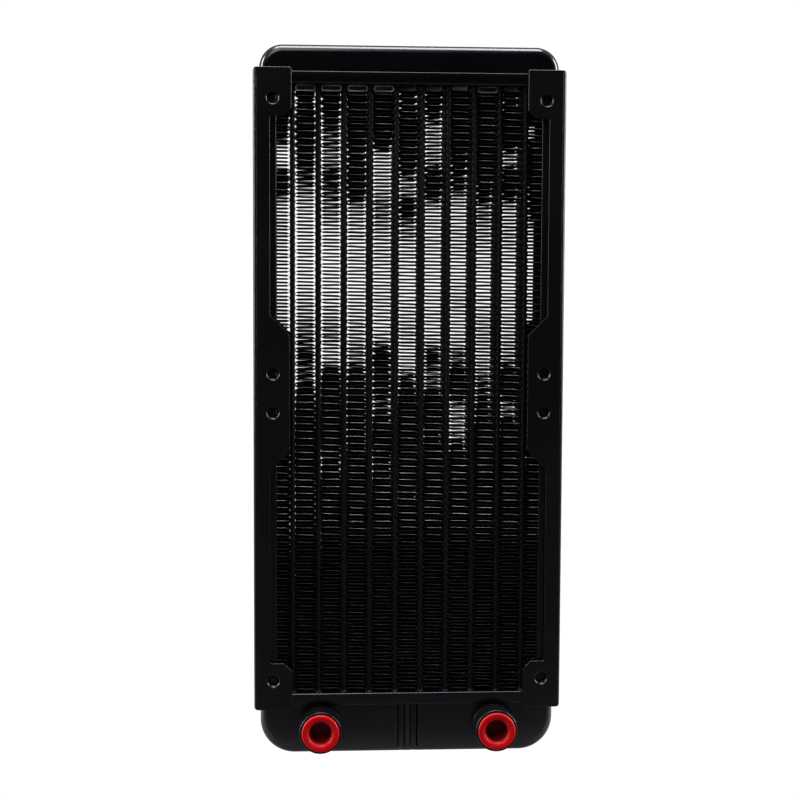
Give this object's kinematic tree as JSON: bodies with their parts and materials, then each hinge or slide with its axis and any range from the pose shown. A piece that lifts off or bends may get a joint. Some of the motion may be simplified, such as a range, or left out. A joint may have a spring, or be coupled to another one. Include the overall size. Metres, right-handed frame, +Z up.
{
  "type": "liquid cooling radiator",
  "caption": "Slim upright liquid cooling radiator with a flat tube and folded fin core between two tanks, fan mounting rails and two threaded ports closed by plastic plugs.",
  "frame": {"origin": "middle of the bottom tank's flat base, midway between the front and back faces of the rails", "axes": "+Z up along the tubes, +X to the right across the rails, -Y out of the ports, so the front seen in the picture faces -Y"},
  "size_m": [0.12, 0.0352, 0.275],
  "materials": {
    "black_tank": "satin",
    "black_sheet": "satin",
    "black_boss": "satin",
    "black_tubes": "satin",
    "black_fins": "satin",
    "bare_aluminium": "satin",
    "red_plastic": "satin"
  },
  "bodies": {
    "radiator": {"top_tank": "black_tank", "bottom_tank": "black_tank", "partition_plate": "bare_aluminium", "top_header": "black_tank", "bottom_header": "black_tank", "tube_01": "black_tubes", "tube_02": "black_tubes", "tube_03": "black_tubes", "tube_04": "black_tubes", "tube_05": "black_tubes", "tube_06": "black_tubes", "tube_07": "black_tubes", "tube_08": "black_tubes", "tube_09": "black_tubes", "tube_10": "black_tubes", "fin_pack_01": "black_fins", "fin_pack_02": "black_fins", "fin_pack_03": "black_fins", "fin_pack_04": "black_fins", "fin_pack_05": "black_fins", "fin_pack_06": "black_fins", "fin_pack_07": "black_fins", "fin_pack_08": "black_fins", "fin_pack_09": "black_fins", "fin_pack_10": "black_fins", "fin_pack_11": "black_fins", "side_plate_left": "black_sheet", "rail_left": "black_sheet", "port_boss_left": "black_boss", "side_plate_right": "black_sheet", "rail_right": "black_sheet", "port_boss_right": "black_boss"},
    "plug_left": {"port_plug_left": "red_plastic"},
    "plug_right": {"port_plug_right": "red_plastic"}
  },
  "joints": [
    {"name": "plug_left_pull", "type": "slide", "parent": "radiator", "child": "plug_left", "axis": [0, -1, 0], "range_m": [0, 0.014]},
    {"name": "plug_right_pull", "type": "slide", "parent": "radiator", "child": "plug_right", "axis": [0, -1, 0], "range_m": [0, 0.014]}
  ]
}
